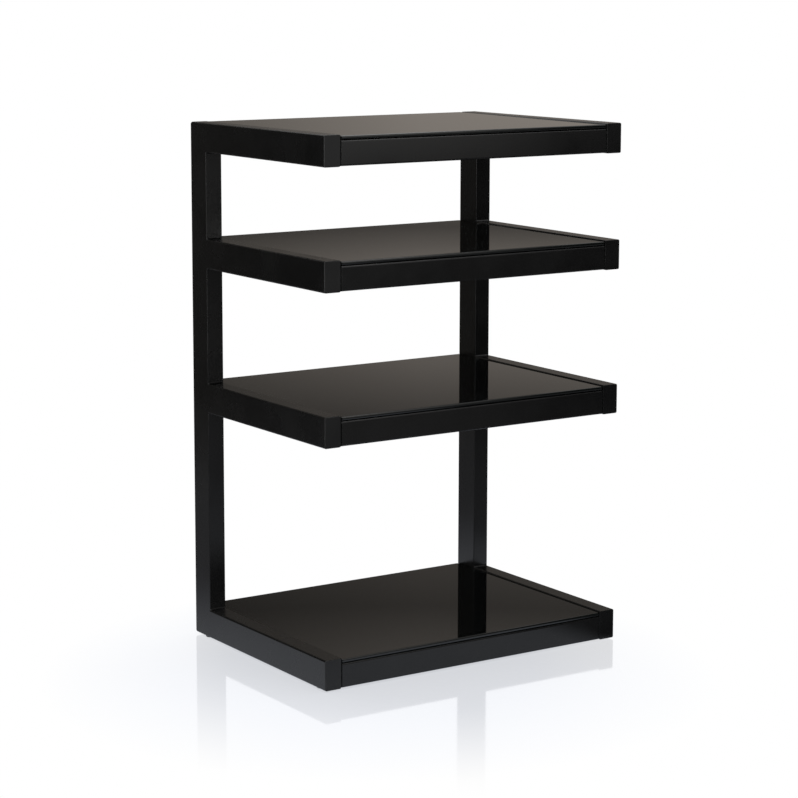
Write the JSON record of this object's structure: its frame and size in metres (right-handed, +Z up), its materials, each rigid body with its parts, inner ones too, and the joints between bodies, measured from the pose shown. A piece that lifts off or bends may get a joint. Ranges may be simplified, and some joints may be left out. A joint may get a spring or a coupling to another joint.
{
  "type": "audio equipment rack",
  "caption": "Open rack of black rectangular steel tube: side frames with rear posts and forward arms, joined by cross beams that carry black glass shelves.",
  "frame": {"origin": "on the floor under the middle of the rack", "axes": "+Z up, the front faces -Y, +X to the right as seen from the front"},
  "size_m": [0.58, 0.42, 0.88],
  "materials": {
    "frame": "black powder coat, satin",
    "beam": "black powder coat, satin",
    "glass": "black tempered glass, opaque, polished",
    "pad": "clear silicone",
    "screw": "black oxide steel",
    "glide": "moulded polyethylene"
  },
  "bodies": {
    "root": {"left_post": "frame", "bottom_left_arm": "frame", "lower_left_arm": "frame", "upper_left_arm": "frame", "top_left_arm": "frame", "right_post": "frame", "bottom_right_arm": "frame", "lower_right_arm": "frame", "upper_right_arm": "frame", "top_right_arm": "frame", "bottom_glass_shelf": "glass", "bottom_front_beam": "beam", "bottom_front_left_pad": "pad", "bottom_front_left_screw": "screw", "bottom_front_right_pad": "pad", "bottom_front_right_screw": "screw", "bottom_rear_beam": "beam", "bottom_rear_left_pad": "pad", "bottom_rear_left_screw": "screw", "bottom_rear_right_pad": "pad", "bottom_rear_right_screw": "screw", "lower_glass_shelf": "glass", "lower_front_beam": "beam", "lower_front_left_pad": "pad", "lower_front_left_screw": "screw", "lower_front_right_pad": "pad", "lower_front_right_screw": "screw", "lower_rear_beam": "beam", "lower_rear_left_pad": "pad", "lower_rear_left_screw": "screw", "lower_rear_right_pad": "pad", "lower_rear_right_screw": "screw", "upper_glass_shelf": "glass", "upper_front_beam": "beam", "upper_front_left_pad": "pad", "upper_front_left_screw": "screw", "upper_front_right_pad": "pad", "upper_front_right_screw": "screw", "upper_rear_beam": "beam", "upper_rear_left_pad": "pad", "upper_rear_left_screw": "screw", "upper_rear_right_pad": "pad", "upper_rear_right_screw": "screw", "top_glass_shelf": "glass", "top_front_beam": "beam", "top_front_left_pad": "pad", "top_front_left_screw": "screw", "top_front_right_pad": "pad", "top_front_right_screw": "screw", "top_rear_beam": "beam", "top_rear_left_pad": "pad", "top_rear_left_screw": "screw", "top_rear_right_pad": "pad", "top_rear_right_screw": "screw", "front_left_glide": "glide", "front_right_glide": "glide", "rear_left_glide": "glide", "rear_right_glide": "glide"}
  },
  "joints": []
}
